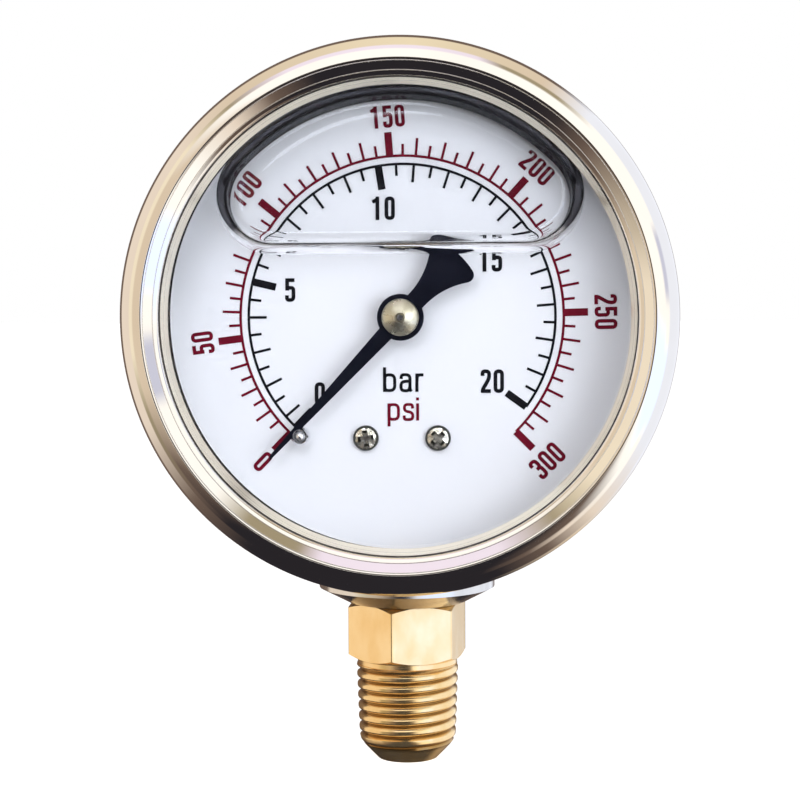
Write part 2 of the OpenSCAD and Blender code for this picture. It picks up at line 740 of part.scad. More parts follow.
module tube_tip() {
    rim = 0.3;
    low = -tube_w / 2 - rim;
    cap_half = tube_flat / 2 + rim + 0.1;
    arm_half = cap_half - rim;
    arm_span = tube_end_dir - cap_span - tip_dir + 0.5;
    color("#c08a34") dial_frame() difference() {
        union() {
            rotate([0, 0, tube_end_dir - cap_span]) rotate_extrude(angle = cap_span)
                translate([tube_bend_r - cap_half, low]) square([2 * cap_half, tube_w + 2 * rim]);
            rotate([0, 0, tip_dir]) rotate_extrude(angle = arm_span)
                translate([tube_bend_r - arm_half, low + rim]) square([2 * arm_half, tip_front - low - rim]);
            translate([tip_at[0], tip_at[1], low + rim]) cylinder(h = tip_front - low - rim, r = cap_half);
        }
        translate([tip_at[0], tip_at[1], tip_front - tip_screw_in])
            cylinder(h = tip_screw_in + 1, r = link_pin_r - 0.1);
    }
}

module tip_screw() {
    color("#8f9398") dial_frame() translate([tip_at[0], tip_at[1], 0]) {
        translate([0, 0, tip_front - tip_screw_in]) cylinder(h = tip_screw_in + eps, r = link_pin_r - 0.1);
        translate([0, 0, tip_front]) cylinder(h = link_z + link_t + 0.1 - tip_front + eps, r = link_pin_r);
        translate([0, 0, link_z + link_t + 0.1]) cylinder(h = link_t, r = pin_head_r);
    }
}

// A flat spiral strip from the collet out to the stud
module hairspring() {
    steps = 20 * spring_turns;
    function at(i, grow) = polar(spring_in_r + 0.02 + spring_pitch * spring_turns * i / steps + grow,
        stud_dir - 360 * spring_turns * (1 - i / steps));
    inner = [for (i = [0:steps]) at(i, 0)];
    outer = [for (i = [steps:-1:0]) at(i, spring_t)];
    color("#4a6fa0") dial_frame() translate([0, 0, spring_z]) linear_extrude(spring_w)
        polygon(concat(inner, outer));
}

module hairspring_collet() {
    color("#c2a45c") dial_frame() translate([0, 0, spring_z - 0.1]) difference() {
        cylinder(h = spring_w + 0.2, r = spring_in_r);
        translate([0, 0, -1]) cylinder(h = spring_w + 3, r = arbor_r);
    }
}

module hairspring_stud() {
    r = 0.6;
    color("#c2a45c") dial_frame() rotate([0, 0, stud_dir])
        translate([spring_out_r + 0.02 + spring_t + r, 0, spring_z - 0.1])
            cylinder(h = front_plate_z - spring_z + 0.1, r = r);
}

module plate_outline() {
    hull() for (p = plate_corners) translate(p) circle(plate_edge_r);
    hull() for (p = movement_screws) translate(p) circle(plate_edge_r);
}

module back_plate() {
    color("#b8923f") dial_frame() translate([0, 0, back_plate_z]) linear_extrude(back_plate_t) difference() {
        plate_outline();
        for (p = plate_corners) translate(p) circle(0.7);
        for (p = movement_screws) translate(p) circle(screw_r);
        circle(pivot_r + run_gap);
        translate(sector_at) circle(pivot_r + run_gap);
    }
}

module front_plate() {
    color("#b8923f") dial_frame() translate([0, 0, front_plate_z]) linear_extrude(front_plate_t) difference() {
        hull() for (p = plate_corners) translate(p) circle(plate_edge_r);
        for (p = plate_corners) translate(p) circle(plate_screw_r);
        circle(pivot_r + run_gap);
        translate(sector_at) circle(pivot_r + run_gap);
    }
}

module pillars() {
    color("#c2a45c") dial_frame() for (p = plate_corners) translate([p[0], p[1], 0]) difference() {
        union() {
            translate([0, 0, back_plate_z]) cylinder(h = back_plate_t + eps, r = 0.7);
            translate([0, 0, back_plate_top]) cylinder(h = plate_gap, r = pillar_r);
        }
        translate([0, 0, front_plate_z - 2]) cylinder(h = 3, r = plate_screw_r);
    }
}

module plate_screws() {
    color("#9aa0a6") dial_frame() for (p = plate_corners) translate([p[0], p[1], front_plate_z]) difference() {
        union() {
            translate([0, 0, -2]) cylinder(h = 2 + front_plate_t + eps, r = plate_screw_r);
            translate([0, 0, front_plate_t]) cylinder(h = plate_screw_head_h, r = pin_head_r);
        }
        translate([-1.5, -0.15, front_plate_t + plate_screw_head_h - 0.3]) cube([3, 0.3, 1]);
    }
}

module movement_screws() {
    color("#9aa0a6") dial_frame() for (p = movement_screws)
        translate([p[0], p[1], back_plate_top]) difference() {
            union() {
                translate([0, 0, -back_plate_t - 2]) cylinder(h = back_plate_t + 2 + eps, r = screw_r);
                cylinder(h = screw_r, r = pin_head_r + 0.2);
            }
            translate([-2, -0.2, screw_r / 2]) cube([4, 0.4, 1]);
        }
}

case_shell();
bezel_ring();
window();
window_gasket();
fill_plug();
stem();
stem_seal();
restrictor();
dial();
psi_scale();
bar_scale();
dial_screws();
stop_pin();
pointer();
pointer_cap();
pointer_arbor();
hairspring();
hairspring_collet();
hairspring_stud();
bourdon_tube();
tube_tip();
tip_screw();
link();
link_pin();
sector();
sector_arbor();
back_plate();
front_plate();
pillars();
plate_screws();
movement_screws();
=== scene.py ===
import math

import bmesh
import bpy
from mathutils import Matrix, Quaternion, Vector


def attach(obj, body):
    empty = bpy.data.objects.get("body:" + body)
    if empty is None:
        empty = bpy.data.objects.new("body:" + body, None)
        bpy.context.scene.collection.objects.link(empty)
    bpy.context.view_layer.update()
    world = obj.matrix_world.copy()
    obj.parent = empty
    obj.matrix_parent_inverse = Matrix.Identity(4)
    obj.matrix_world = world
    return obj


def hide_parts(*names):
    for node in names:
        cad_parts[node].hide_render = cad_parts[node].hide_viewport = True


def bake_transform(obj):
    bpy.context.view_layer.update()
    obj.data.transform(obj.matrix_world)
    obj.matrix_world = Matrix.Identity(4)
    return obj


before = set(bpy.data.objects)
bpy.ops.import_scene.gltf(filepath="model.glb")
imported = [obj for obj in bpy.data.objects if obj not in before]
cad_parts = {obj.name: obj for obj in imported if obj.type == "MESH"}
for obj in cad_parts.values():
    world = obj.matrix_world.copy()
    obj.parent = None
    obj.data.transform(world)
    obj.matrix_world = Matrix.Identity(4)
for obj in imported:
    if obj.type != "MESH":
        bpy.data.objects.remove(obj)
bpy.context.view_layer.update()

# Lengths are written in millimetres and angles in degrees. Pieces are placed in metres. A turned
# piece is drawn as points of radius and depth, where the depth of a piece on the dial's axis runs
# towards the reader.
MM = 0.001
DIAL_HEIGHT = 58.6
DIAL_PLACE = (Matrix.Translation((0, 0, DIAL_HEIGHT * MM))
              @ Matrix.Rotation(math.radians(90), 4, "X"))
DIAL_BACK, DIAL_FRONT, WINDOW_BACK = 5.0, 5.5, 14.2
WELD, LOOSE_WELD = 1e-5, 1e-4
CORNER_STEPS = 6


def arc(radius, depth, curve, start, end, steps):
    """Points on a round corner of a profile, from one angle to another."""
    turns = [math.radians(start + (end - start) * i / steps) for i in range(steps + 1)]
    return [(radius + curve * math.cos(a), depth + curve * math.sin(a)) for a in turns]


def rounded(points, radius):
    """A path whose inner corners are rounded as far as their sides allow."""
    points = [Vector(p) for p in points]
    path = [points[0]]
    for before, corner, after in zip(points, points[1:], points[2:]):
        back, on = before - corner, after - corner
        reach = min(radius, back.length / 2, on.length / 2)
        a, b = corner + back.normalized() * reach, corner + on.normalized() * reach
        for t in (i / CORNER_STEPS for i in range(CORNER_STEPS + 1)):
            path.append(a.lerp(corner, t).lerp(corner.lerp(b, t), t))
    path.append(points[-1])
    return [p for i, p in enumerate(path) if i == 0 or (p - path[i - 1]).length > WELD]


def outline(bm, points, closed=True):
    """Draws the edges that join these points in turn, and gives them."""
    verts = [bm.verts.new(p) for p in points]
    after = verts[1:] + verts[:1] if closed else verts[1:]
    return [bm.edges.new(pair) for pair in zip(verts, after)]


def spun(bm, angle, steps, rise=0.0, full=False):
    """Sweeps what is drawn so far about the upright axis, with a rise at each step."""
    bmesh.ops.spin(bm, geom=bm.verts[:] + bm.edges[:], cent=(0, 0, 0), axis=(0, 0, 1),
                   dvec=(0, 0, rise), angle=angle, steps=steps, use_merge=full,
                   use_duplicate=False)


def turned(profile, steps, closed=True):
    """Spins a profile about the upright axis of its own frame."""
    bm = bmesh.new()
    outline(bm, [(r, 0, z) for r, z in profile], closed)
    spun(bm, math.tau, steps, full=True)
    bmesh.ops.remove_doubles(bm, verts=bm.verts[:], dist=WELD)
    bmesh.ops.recalc_face_normals(bm, faces=bm.faces[:])
    return bm


def rotated(bm, angle):
    """Turns all that is drawn so far about the upright axis."""
    bmesh.ops.rotate(bm, cent=(0, 0, 0), matrix=Matrix.Rotation(math.radians(angle), 3, "Z"),
                     verts=bm.verts[:])


def drawn_on(bm, edges, place):
    """Extrudes a ring of edges, moves the new ring to its place and gives its edges."""
    made = bmesh.ops.extrude_edge_only(bm, edges=edges)["geom"]
    ring = [g for g in made if isinstance(g, bmesh.types.BMVert)]
    for v in ring:
        v.co = place(v.co)
    return [g for g in made if isinstance(g, bmesh.types.BMEdge)
            and g.verts[0] in ring and g.verts[1] in ring]


def at_radius(at, radius, height):
    """The place at a radius and a height, in the direction of a point from the upright axis."""
    return Vector((at.x, at.y, 0)).normalized() * radius + Vector((0, 0, height))


def joined(whole, part):
    """Adds one bmesh to another."""
    mesh = bpy.data.meshes.new("part")
    part.to_mesh(mesh)
    part.free()
    whole.from_mesh(mesh)
    bpy.data.meshes.remove(mesh)


def placed(name, bm, finishes, body, node=None, on_dial=True, crisp=25):
    """Makes a bmesh a finished piece at its place, on a body if one is named."""
    mesh = bpy.data.meshes.new(name)
    bm.to_mesh(mesh)
    bm.free()
    place = DIAL_PLACE if on_dial else Matrix.Identity(4)
    mesh.transform(place @ Matrix.Scale(MM, 4))
    mesh.shade_smooth()
    mesh.set_sharp_from_angle(angle=math.radians(crisp))
    for material in finishes:
        mesh.materials.append(material)
    piece = bpy.data.objects.new(name, mesh)
    bpy.context.scene.collection.objects.link(piece)
    if body:
        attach(piece, body)
    if node:
        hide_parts(node)
    return piece


# Shader nodes

NOISE_DETAIL, NOISE_LOW, NOISE_HIGH = 3.0, 0.3, 0.7
GRAIN_DEPTH = 0.00002
SHEET_PATCHES, SHEET_MARKS = 90.0, 5000.0


def add(tree, kind, *wires, operation=None, **settings):
    """A shader node. Its wires go to its inputs in turn, each an output or a plain value."""
    node = tree.nodes.new(kind)
    if operation:
        node.operation = operation
    for socket, wire in zip(node.inputs, wires):
        if isinstance(wire, bpy.types.NodeSocket):
            tree.links.new(wire, socket)
        else:
            socket.default_value = wire
    for name, value in settings.items():
        node.inputs[name.replace("_", " ")].default_value = value
    return node


def own_place(tree):
    """The object's own coordinates."""
    return tree.nodes.new("ShaderNodeTexCoord").outputs["Object"]


def noise(tree, place, scale):
    node = add(tree, "ShaderNodeTexNoise", place, Scale=scale, Detail=NOISE_DETAIL)
    return node.outputs["Fac"]


def grain(tree, scale, stretch):
    """Noise on the object's own coordinates, finer where stretch is larger."""
    place = add(tree, "ShaderNodeMapping", own_place(tree), Scale=stretch)
    return noise(tree, place.outputs["Vector"], scale)


def spread(tree, value, low, high, low_in=NOISE_LOW, high_in=NOISE_HIGH):
    """Maps a value to a range, from the usual reach of a noise if no other is given."""
    node = add(tree, "ShaderNodeMapRange", value, From_Min=low_in, From_Max=high_in,
               To_Min=low, To_Max=high)
    return node.outputs["Result"]


def colours_along(tree, value, stops, reach=1):
    """Colours along a value, with their places from 0 to its reach."""
    node = add(tree, "ShaderNodeValToRGB", value)
    marks = node.color_ramp.elements
    while len(marks) < len(stops):
        marks.new(0.5)
    for mark, (place, _) in zip(marks, stops):
        mark.position = place / reach
    for mark, (_, colour) in zip(marks, stops):
        mark.color = (*colour, 1)
    return node.outputs["Color"]


def mixed(tree, factor, first, second):
    """One colour or another by a factor, where each is a colour or a node's output."""
    node = tree.nodes.new("ShaderNodeMix")
    node.data_type = "RGBA"
    tree.links.new(factor, node.inputs["Factor"])
    for socket, value in ((node.inputs[6], first), (node.inputs[7], second)):
        if isinstance(value, tuple):
            socket.default_value = (*value, 1)
        else:
            tree.links.new(value, socket)
    return node.outputs[2]


def most(tree, values):
    """The largest of several values."""
    total = values[0]
    for value in values[1:]:
        total = add(tree, "ShaderNodeMath", total, value, operation="MAXIMUM").outputs[0]
    return total


def from_axis(tree, first, second):
    """Distance from an axis, by the two coordinates square to it."""
    across = add(tree, "ShaderNodeCombineXYZ", first, second)
    length = add(tree, "ShaderNodeVectorMath", across.outputs[0], operation="LENGTH")
    return length.outputs["Value"]


def from_dial_axis(tree):
    """Distance from the dial's axis, and place along it away from the reader, in metres."""
    centred = add(tree, "ShaderNodeMapping", own_place(tree), Location=(0, 0, -DIAL_HEIGHT * MM))
    parts = add(tree, "ShaderNodeSeparateXYZ", centred.outputs["Vector"])
    return from_axis(tree, parts.outputs["X"], parts.outputs["Z"]), parts.outputs["Y"]


# Finishes

def finish(name, colour, roughness, metallic=0.0):
    material = bpy.data.materials.new(name)
    material.use_nodes = True
    shader = material.node_tree.nodes["Principled BSDF"]
    shader.inputs["Base Color"].default_value = (*colour, 1)
    shader.inputs["Roughness"].default_value = roughness
    shader.inputs["Metallic"].default_value = metallic
    return material, material.node_tree, shader


def varied(tree, shader, patches, colours, gloss, roughness, relief, bump):
    """Two colours by patches, gloss in a range of roughness, and a fine relief."""
    stops = list(zip((NOISE_LOW, NOISE_HIGH), colours))
    tree.links.new(colours_along(tree, patches, stops), shader.inputs["Base Color"])
    tree.links.new(spread(tree, gloss, *roughness), shader.inputs["Roughness"])
    node = add(tree, "ShaderNodeBump", Strength=bump, Distance=GRAIN_DEPTH)
    tree.links.new(relief, node.inputs["Height"])
    tree.links.new(node.outputs["Normal"], shader.inputs["Normal"])


def mottled(name, first, second, roughness, scale, metallic=1.0, stretch=(1, 1, 1), bump=0.2,
            fine_scale=3000.0):
    """A finish whose colour and gloss vary over the surface, with a fine grain."""
    material, tree, shader = finish(name, first, roughness[0], metallic)
    patches = grain(tree, scale, stretch)
    varied(tree, shader, patches, (first, second), patches, roughness,
           grain(tree, fine_scale, stretch), bump)
    return material


def polished(name, first, second, roughness, bump):
    """Sheet metal polished on a spindle: faint marks in rings and slightly uneven colour."""
    material, tree, shader = finish(name, first, roughness[0], 1.0)
    patches = grain(tree, SHEET_PATCHES, (1, 1, 1))
    place = add(tree, "ShaderNodeCombineXYZ", *from_dial_axis(tree))
    marks = noise(tree, place.outputs[0], SHEET_MARKS)
    varied(tree, shader, patches, (first, second), marks, roughness, marks, bump)
    return material


def recoloured(tree, kept, colour):
    """Gives a finish another colour where kept is less than 1."""
    base = tree.nodes["Principled BSDF"].inputs["Base Color"]
    tree.links.new(mixed(tree, kept, colour, base.links[0].from_socket), base)


# The case's inside wall and back, the distance into the sheet over which the painted shade ends,
# and the height above which the shade is painted
INSIDE_RADIUS, INSIDE_BACK, INSIDE_EDGE = 30.4, 12.8, 0.1
SHADE_FROM, SHADE_FADE = 61.0, 2


def painted_shade_inside(material, colour):
    """Painted shade: darkens the case inside its wall and back, above a given height."""
    tree = material.node_tree
    outside = [spread(tree, value, 0.0, 1.0, edge * MM, (edge + INSIDE_EDGE) * MM)
               for value, edge in zip(from_dial_axis(tree), (INSIDE_RADIUS, INSIDE_BACK))]
    height = add(tree, "ShaderNodeSeparateXYZ", own_place(tree)).outputs["Z"]
    unshaded_below = spread(tree, height, 1.0, 0.0, (SHADE_FROM - SHADE_FADE) * MM,
                    (SHADE_FROM + SHADE_FADE) * MM)
    recoloured(tree, most(tree, [*outside, unshaded_below]), colour)


# The taper thread, and the heights between which the tarnish and painted shade in its roots
# begin and end
THREAD_LENGTH, THREAD_PITCH, THREAD_RADIUS = 12.4, 1.4111, 6.75
THREAD_TAPER, THREAD_HEIGHT = 1 / 32, 0.58
ROOT_DARK_FROM, ROOT_DARK_TO = (1.6, 2.2), (THREAD_LENGTH, THREAD_LENGTH + 0.4)
BRIGHT_CREST = 0.25


def tarnish_and_shade_in_roots(material, colour):
    """Brass that darkens towards the roots of the taper thread: tarnish, and painted shade in the
    roots.
    """
    tree = material.node_tree
    parts = add(tree, "ShaderNodeSeparateXYZ", own_place(tree))
    height = parts.outputs["Z"]
    radius = from_axis(tree, parts.outputs["X"], parts.outputs["Y"])
    even = add(tree, "ShaderNodeMath", height, -THREAD_TAPER, radius, operation="MULTIPLY_ADD")
    crest = (THREAD_RADIUS - THREAD_TAPER * THREAD_LENGTH) * MM
    bright = spread(tree, even.outputs[0], 0.0, 1.0, crest - THREAD_HEIGHT * MM,
                    crest - BRIGHT_CREST * THREAD_HEIGHT * MM)
    above = spread(tree, height, 0.0, 1.0, *(z * MM for z in ROOT_DARK_TO))
    below = spread(tree, height, 1.0, 0.0, *(z * MM for z in ROOT_DARK_FROM))
    recoloured(tree, most(tree, [bright, above, below]), colour)


polished_steel = polished("polished_steel", (0.80, 0.765, 0.72), (0.76, 0.725, 0.68),
                          (0.03, 0.09), 0.08)
# The lip's cream colour, and its finish that is partly diffuse, are a painted reflection of the
# bright dial
lip_painted_reflection = polished("lip_painted_reflection", (1.0, 0.93, 0.77), (0.97, 0.89, 0.72), (0.24, 0.32), 0.03)
LIP_METALLIC = 0.75
lip_painted_reflection.node_tree.nodes["Principled BSDF"].inputs["Metallic"].default_value = LIP_METALLIC
# Painted shade in the groove at the crease and in the seam between the band and the lip
seam_painted_shade = mottled("seam_painted_shade", (0.10, 0.08, 0.06), (0.05, 0.04, 0.035), (0.4, 0.5),
                    metallic=0.6, scale=300.0)
case_steel = mottled("case_steel", (0.74, 0.72, 0.69), (0.66, 0.64, 0.61), (0.14, 0.24),
                     scale=90.0, stretch=(1, 6, 1), bump=0.1, fine_scale=1200.0)
# Painted shade inside the case, above a given height
painted_shade_inside(case_steel, (0.11, 0.11, 0.12))
stem_brass = mottled("stem_brass", (1.0, 0.77, 0.43), (0.92, 0.64, 0.29), (0.10, 0.22),
                     metallic=0.9, scale=330.0, stretch=(1, 1, 0.6), bump=0.25,
                     fine_scale=1500.0)
# Tarnish and painted shade in the thread's roots
tarnish_and_shade_in_roots(stem_brass, (0.30, 0.15, 0.03))
movement_brass = mottled("movement_brass", (0.78, 0.62, 0.34), (0.70, 0.53, 0.26), (0.25, 0.4),
                         scale=300.0)
small_steel = mottled("small_steel", (0.72, 0.72, 0.73), (0.58, 0.58, 0.60), (0.08, 0.2),
                      scale=700.0)
pin_chrome = mottled("pin_chrome", (0.93, 0.93, 0.95), (0.60, 0.60, 0.62), (0.04, 0.12),
                     scale=1800.0, bump=0.4)
screw_nickel = mottled("screw_nickel", (0.86, 0.83, 0.74), (0.56, 0.54, 0.44), (0.12, 0.3),
                       scale=1400.0, bump=0.4)
# Painted shade on the screws' rims and in the walls of their cross recesses
screw_painted_shade = mottled("screw_painted_shade", (0.030, 0.032, 0.024), (0.075, 0.075, 0.06), (0.35, 0.5),
                      scale=1400.0)
cap_metal = mottled("cap_metal", (0.66, 0.62, 0.47), (0.50, 0.46, 0.34), (0.22, 0.34),
                    scale=700.0, bump=0.4)
spring_bronze = mottled("spring_bronze", (0.66, 0.48, 0.28), (0.55, 0.38, 0.2), (0.3, 0.4),
                        scale=300.0)
black_rubber = mottled("black_rubber", (0.018, 0.018, 0.019), (0.03, 0.03, 0.03), (0.6, 0.8),
                       metallic=0.0, scale=500.0)
dial_white = mottled("dial_white", (0.89, 0.89, 0.90), (0.875, 0.875, 0.885), (0.45, 0.55),
                     metallic=0.0, scale=60.0, bump=0.03)
ink_red = mottled("ink_red", (0.17, 0.004, 0.018), (0.14, 0.003, 0.014), (0.4, 0.5),
                  metallic=0.0, scale=900.0)
ink_black = mottled("ink_black", (0.005, 0.005, 0.007), (0.010, 0.010, 0.012), (0.4, 0.5),
                    metallic=0.0, scale=900.0)
pointer_black = mottled("pointer_black", (0.003, 0.004, 0.010), (0.006, 0.007, 0.013),
                        (0.35, 0.45), metallic=0.0, scale=500.0, bump=0.05)
# Paint in glycerin has hardly any gloss, because the liquid bends light as much as the paint does
PAINT_GLOSS = 0.04
for paint in (dial_white, ink_red, ink_black, pointer_black):
    shader = paint.node_tree.nodes["Principled BSDF"]
    shader.inputs["Specular IOR Level"].default_value = PAINT_GLOSS


def clear(name, colour, bend, gloss, shade=(1, 1, 1)):
    """Clear glass or liquid that lets lamps light what is behind it, through its shade."""
    material, tree, shader = finish(name, colour, 0.0)
    shader.inputs["Transmission Weight"].default_value = 1.0
    shader.inputs["IOR"].default_value = bend
    shader.inputs["Specular IOR Level"].default_value = gloss
    path = tree.nodes.new("ShaderNodeLightPath")
    open_air = add(tree, "ShaderNodeBsdfTransparent", (*shade, 1))
    either = add(tree, "ShaderNodeMixShader", path.outputs["Is Shadow Ray"],
                 shader.outputs["BSDF"], open_air.outputs["BSDF"])
    tree.links.new(either.outputs["Shader"], tree.nodes["Material Output"].inputs["Surface"])
    return material


window_glass = clear("window_glass", (1, 1, 1), 1.5, 0.2)
glycerin_clear = clear("glycerin_clear", (0.99, 0.99, 1.0), 1.47, 0.0)
glycerin_level = clear("glycerin_level", (1, 1, 1), 1.47, 0.5, shade=(0.985, 0.98, 0.97))

NODE_FINISH = {
    "case_shell": case_steel, "window": window_glass, "window_gasket": black_rubber,
    "fill_plug": black_rubber, "stem": stem_brass, "stem_seal": black_rubber,
    "restrictor": movement_brass, "dial": dial_white, "psi_scale": ink_red,
    "bar_scale": ink_black, "dial_screws": screw_nickel, "stop_pin": small_steel,
    "pointer": pointer_black, "pointer_cap": cap_metal, "pointer_arbor": small_steel,
    "hairspring": spring_bronze, "hairspring_collet": movement_brass,
    "hairspring_stud": movement_brass, "bourdon_tube": spring_bronze,
    "tube_tip": movement_brass, "tip_screw": small_steel, "link": movement_brass,
    "link_pin": small_steel, "sector": movement_brass, "sector_arbor": small_steel,
    "back_plate": movement_brass, "front_plate": movement_brass, "pillars": movement_brass,
    "plate_screws": small_steel, "movement_screws": small_steel, "bezel_ring": polished_steel,
}
for name, material in NODE_FINISH.items():
    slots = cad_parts[name].data.materials
    slots.clear()
    slots.append(material)


# Bezel ring: rolled front, sloping band with two beads, lip on the window, crimp behind the flange

SHEET = 0.7
ROLL_RADIUS, ROLL_DEPTH, ROLL_CURVE = 31.6, 16.5, 2.9
CREASE, GROOVE = (31.549, 19.399), (31.41, 31.53)
BEADS, BEAD_RADIUS = ((31.2, 19.286), (30.1, 18.53)), 0.06
BEND, BAND_SLOPE = (29.5, 18.312), 26.5
LIP = (28.5, 16.2)
LIP_TOP, LIP_FRONT = (BEND[0] - 0.26, BEND[1] - 0.55), (LIP[0] + 0.08, LIP[1] + 0.17)
LIP_BACK, LIP_END, LIP_CURVE = (LIP[0] + 0.2, LIP[1]), (LIP[0] + 0.77, LIP[1]), 0.2
BEND_INSIDE = (-0.02, -0.16)
BAND_EDGE, SEAM = BEND[0] - 0.04, 0.2
CRIMP_RADIUS, CRIMP_DEPTH, CRIMP_INSIDE, CRIMP_OUTSIDE, CRIMP_END = 33.6, 13.1, 0.2, 0.9, 31.4


def bezel_finish(radius, depth):
    """Number of a face's finish: 0 for the polished sheet, 1 for the lip with its painted
    reflection,
    2 for painted shade in the groove and the seam.
    """
    if GROOVE[0] < radius < GROOVE[1] and depth > BEND[1]:
        return 2
    if radius > BAND_EDGE:
        return 0
    return 2 if radius > BAND_EDGE - SEAM else 1


def bezel():
    roll_outside = arc(ROLL_RADIUS, ROLL_DEPTH, ROLL_CURVE, 0, 91, 22)
    front = rounded([roll_outside[-1], BEND, LIP_TOP, LIP_FRONT], LIP_CURVE)
    front = [tuple(p) for p in front]
    slope = (CREASE[1] - BEADS[0][1]) / (CREASE[0] - BEADS[0][0])
    groove = [(r, CREASE[1] - (CREASE[0] - r) * slope) for r in reversed(GROOVE)]
    beads = [p for r, z in BEADS for p in arc(r, z, BEAD_RADIUS, 30, 205, 12)]
    lip_slope = math.atan2(BEND[1] - LIP[1], BEND[0] - LIP[0])
    bend_inside = (BEND[0] + math.sin(lip_slope) * SHEET + BEND_INSIDE[0],
                   BEND[1] - math.cos(math.radians(BAND_SLOPE)) * SHEET + BEND_INSIDE[1])
    roll_inside = arc(ROLL_RADIUS, ROLL_DEPTH, ROLL_CURVE - SHEET, 97, 0, 12)
    crimp_inside = arc(CRIMP_RADIUS, CRIMP_DEPTH, CRIMP_INSIDE, 0, -90, 4)
    crimp_end = [(CRIMP_END, CRIMP_DEPTH - curve) for curve in (CRIMP_INSIDE, CRIMP_OUTSIDE)]
    crimp_outside = arc(CRIMP_RADIUS, CRIMP_DEPTH, CRIMP_OUTSIDE, -90, 0, 8)
    ring = turned([*roll_outside[:-1], front[0], *groove, *beads, *front[1:], LIP_BACK, LIP_END,
                   bend_inside, *roll_inside, *crimp_inside, *crimp_end, *crimp_outside], 256)
    for face in ring.faces:
        middle = face.calc_center_median()
        face.material_index = bezel_finish(math.hypot(middle.x, middle.y), middle.z)
    placed("bezel_rolled", ring, [polished_steel, lip_painted_reflection, seam_painted_shade], "case",
           "bezel_ring", crisp=14)


bezel()


# Stem: taper thread, neck and hexagon turned from bar. The block inside the case stays as it is.

END_CHAMFER, END_SLOPE, END_SOFTNESS = 2.5, 0.95, 0.5
END_EDGE = ((0.25, 0), (0.1, 0.06))
CORE_HEIGHTS = (END_CHAMFER, 4, 8, 12)
PORT_RADIUS, PORT_DEPTH, PORT_CHAMFER = 2.6, 17.0, 0.3
NECK_RADIUS, NECK_FROM, NECK_SLOPE = 6.6, THREAD_LENGTH + 0.35, 1.6
CREST_WIDTH, ROOT_CURVE, CREST_CURVE, RIDGE_FOOT = 0.15, 0.05, 0.08, 0.5
FIRST_TURN, TURNS, TURN_STEPS = -0.8, 10, 64
RIDGE_LOW, RIDGE_TOP = 0.02, THREAD_LENGTH + 0.3
# The turned core lies a little above the thread's roots and reaches into the hexagon, and the
# hexagon reaches into the block
CORE_OVER_ROOT, CORE_IN_HEX, HEX_IN_BLOCK = 0.04, 0.3, 0.2
HEX_LOW, HEX_TOP, HEX_FLATS, HEX_TURN = 13.4, 21.0, 14.0, 18.45
HEX_SIDE_STEPS, HEX_END_IN, HEX_CORNER_SLOPE, HEX_EDGE = 12, 0.15, 0.58, 0.12


def thread_limit(height):
    """Radius that the turned bar leaves for the thread at a height above the stem's end."""
    crest = THREAD_RADIUS - THREAD_TAPER * (THREAD_LENGTH - height)
    below = END_CHAMFER - height
    low = crest - (below + math.sqrt(below ** 2 + END_SOFTNESS ** 2)) / 2 * END_SLOPE
    return min(low, NECK_RADIUS + (NECK_FROM - height) * NECK_SLOPE)


def thread():
    """One ridge swept along the helix, then tapered and cut back to the turned bar."""
    half, flat = THREAD_PITCH / 2, THREAD_PITCH * CREST_WIDTH
    root, crest = THREAD_RADIUS - THREAD_HEIGHT, THREAD_RADIUS
    flank = [(root, half), (root + ROOT_CURVE, half * 0.9), (crest - CREST_CURVE, flat * 1.5),
             (crest, flat * 0.8)]
    ridge = [(r, -z) for r, z in flank] + flank[::-1] + [(root - RIDGE_FOOT, 0)]
    bm = bmesh.new()
    outline(bm, [(r, 0, FIRST_TURN + z) for r, z in ridge])
    spun(bm, math.tau * TURNS, TURN_STEPS * TURNS, rise=THREAD_PITCH / TURN_STEPS)
    bmesh.ops.holes_fill(bm, edges=bm.edges[:], sides=0)
    bmesh.ops.recalc_face_normals(bm, faces=bm.faces[:])
    for v in bm.verts:
        radius = math.hypot(v.co.x, v.co.y)
        height = min(max(v.co.z, RIDGE_LOW), RIDGE_TOP)
        wanted = min(radius - THREAD_TAPER * (THREAD_LENGTH - height), thread_limit(height))
        v.co = Vector((v.co.x * wanted / radius, v.co.y * wanted / radius, height))
    return bm


def hexagon():
    """Hexagon bar whose corners are turned back at both ends."""
    flat_radius, length = HEX_FLATS / 2, HEX_TOP - HEX_LOW
    ways = [math.radians(60 * i) for i in range(6)]
    corners = [Vector((math.cos(a), math.sin(a), 0)) * flat_radius / math.cos(math.radians(30))
               for a in ways]
    bm = bmesh.new()
    low_edges = outline(bm, [a.lerp(b, k / HEX_SIDE_STEPS)
                             for a, b in zip(corners, corners[1:] + corners[:1])
                             for k in range(HEX_SIDE_STEPS)])
    low = bm.verts[:]
    drawn_on(bm, low_edges, lambda at: Vector((at.x, at.y, length)))
    top = [v for v in bm.verts if v not in low]
    end_radius = flat_radius - HEX_END_IN
    for ring, height, way in ((low, 0.0, 1), (top, length, -1)):
        ring_edges = [e for e in bm.edges if e.verts[0] in ring and e.verts[1] in ring]
        end = drawn_on(bm, ring_edges, lambda at: at_radius(at, end_radius, height))
        for v in ring:
            beyond = math.hypot(v.co.x, v.co.y) - end_radius
            v.co.z = height + way * beyond * HEX_CORNER_SLOPE
        bmesh.ops.edgeloop_fill(bm, edges=end)
    upright = [e for e in bm.edges if abs(e.verts[0].co.z - e.verts[1].co.z) > length / 2]
    bmesh.ops.bevel(bm, geom=upright, offset=HEX_EDGE, offset_type="OFFSET", segments=2,
                    profile=0.5, affect="EDGES", material=-1)
    bmesh.ops.recalc_face_normals(bm, faces=bm.faces[:])
    rotated(bm, HEX_TURN)
    bmesh.ops.translate(bm, vec=(0, 0, HEX_LOW), verts=bm.verts[:])
    return bm


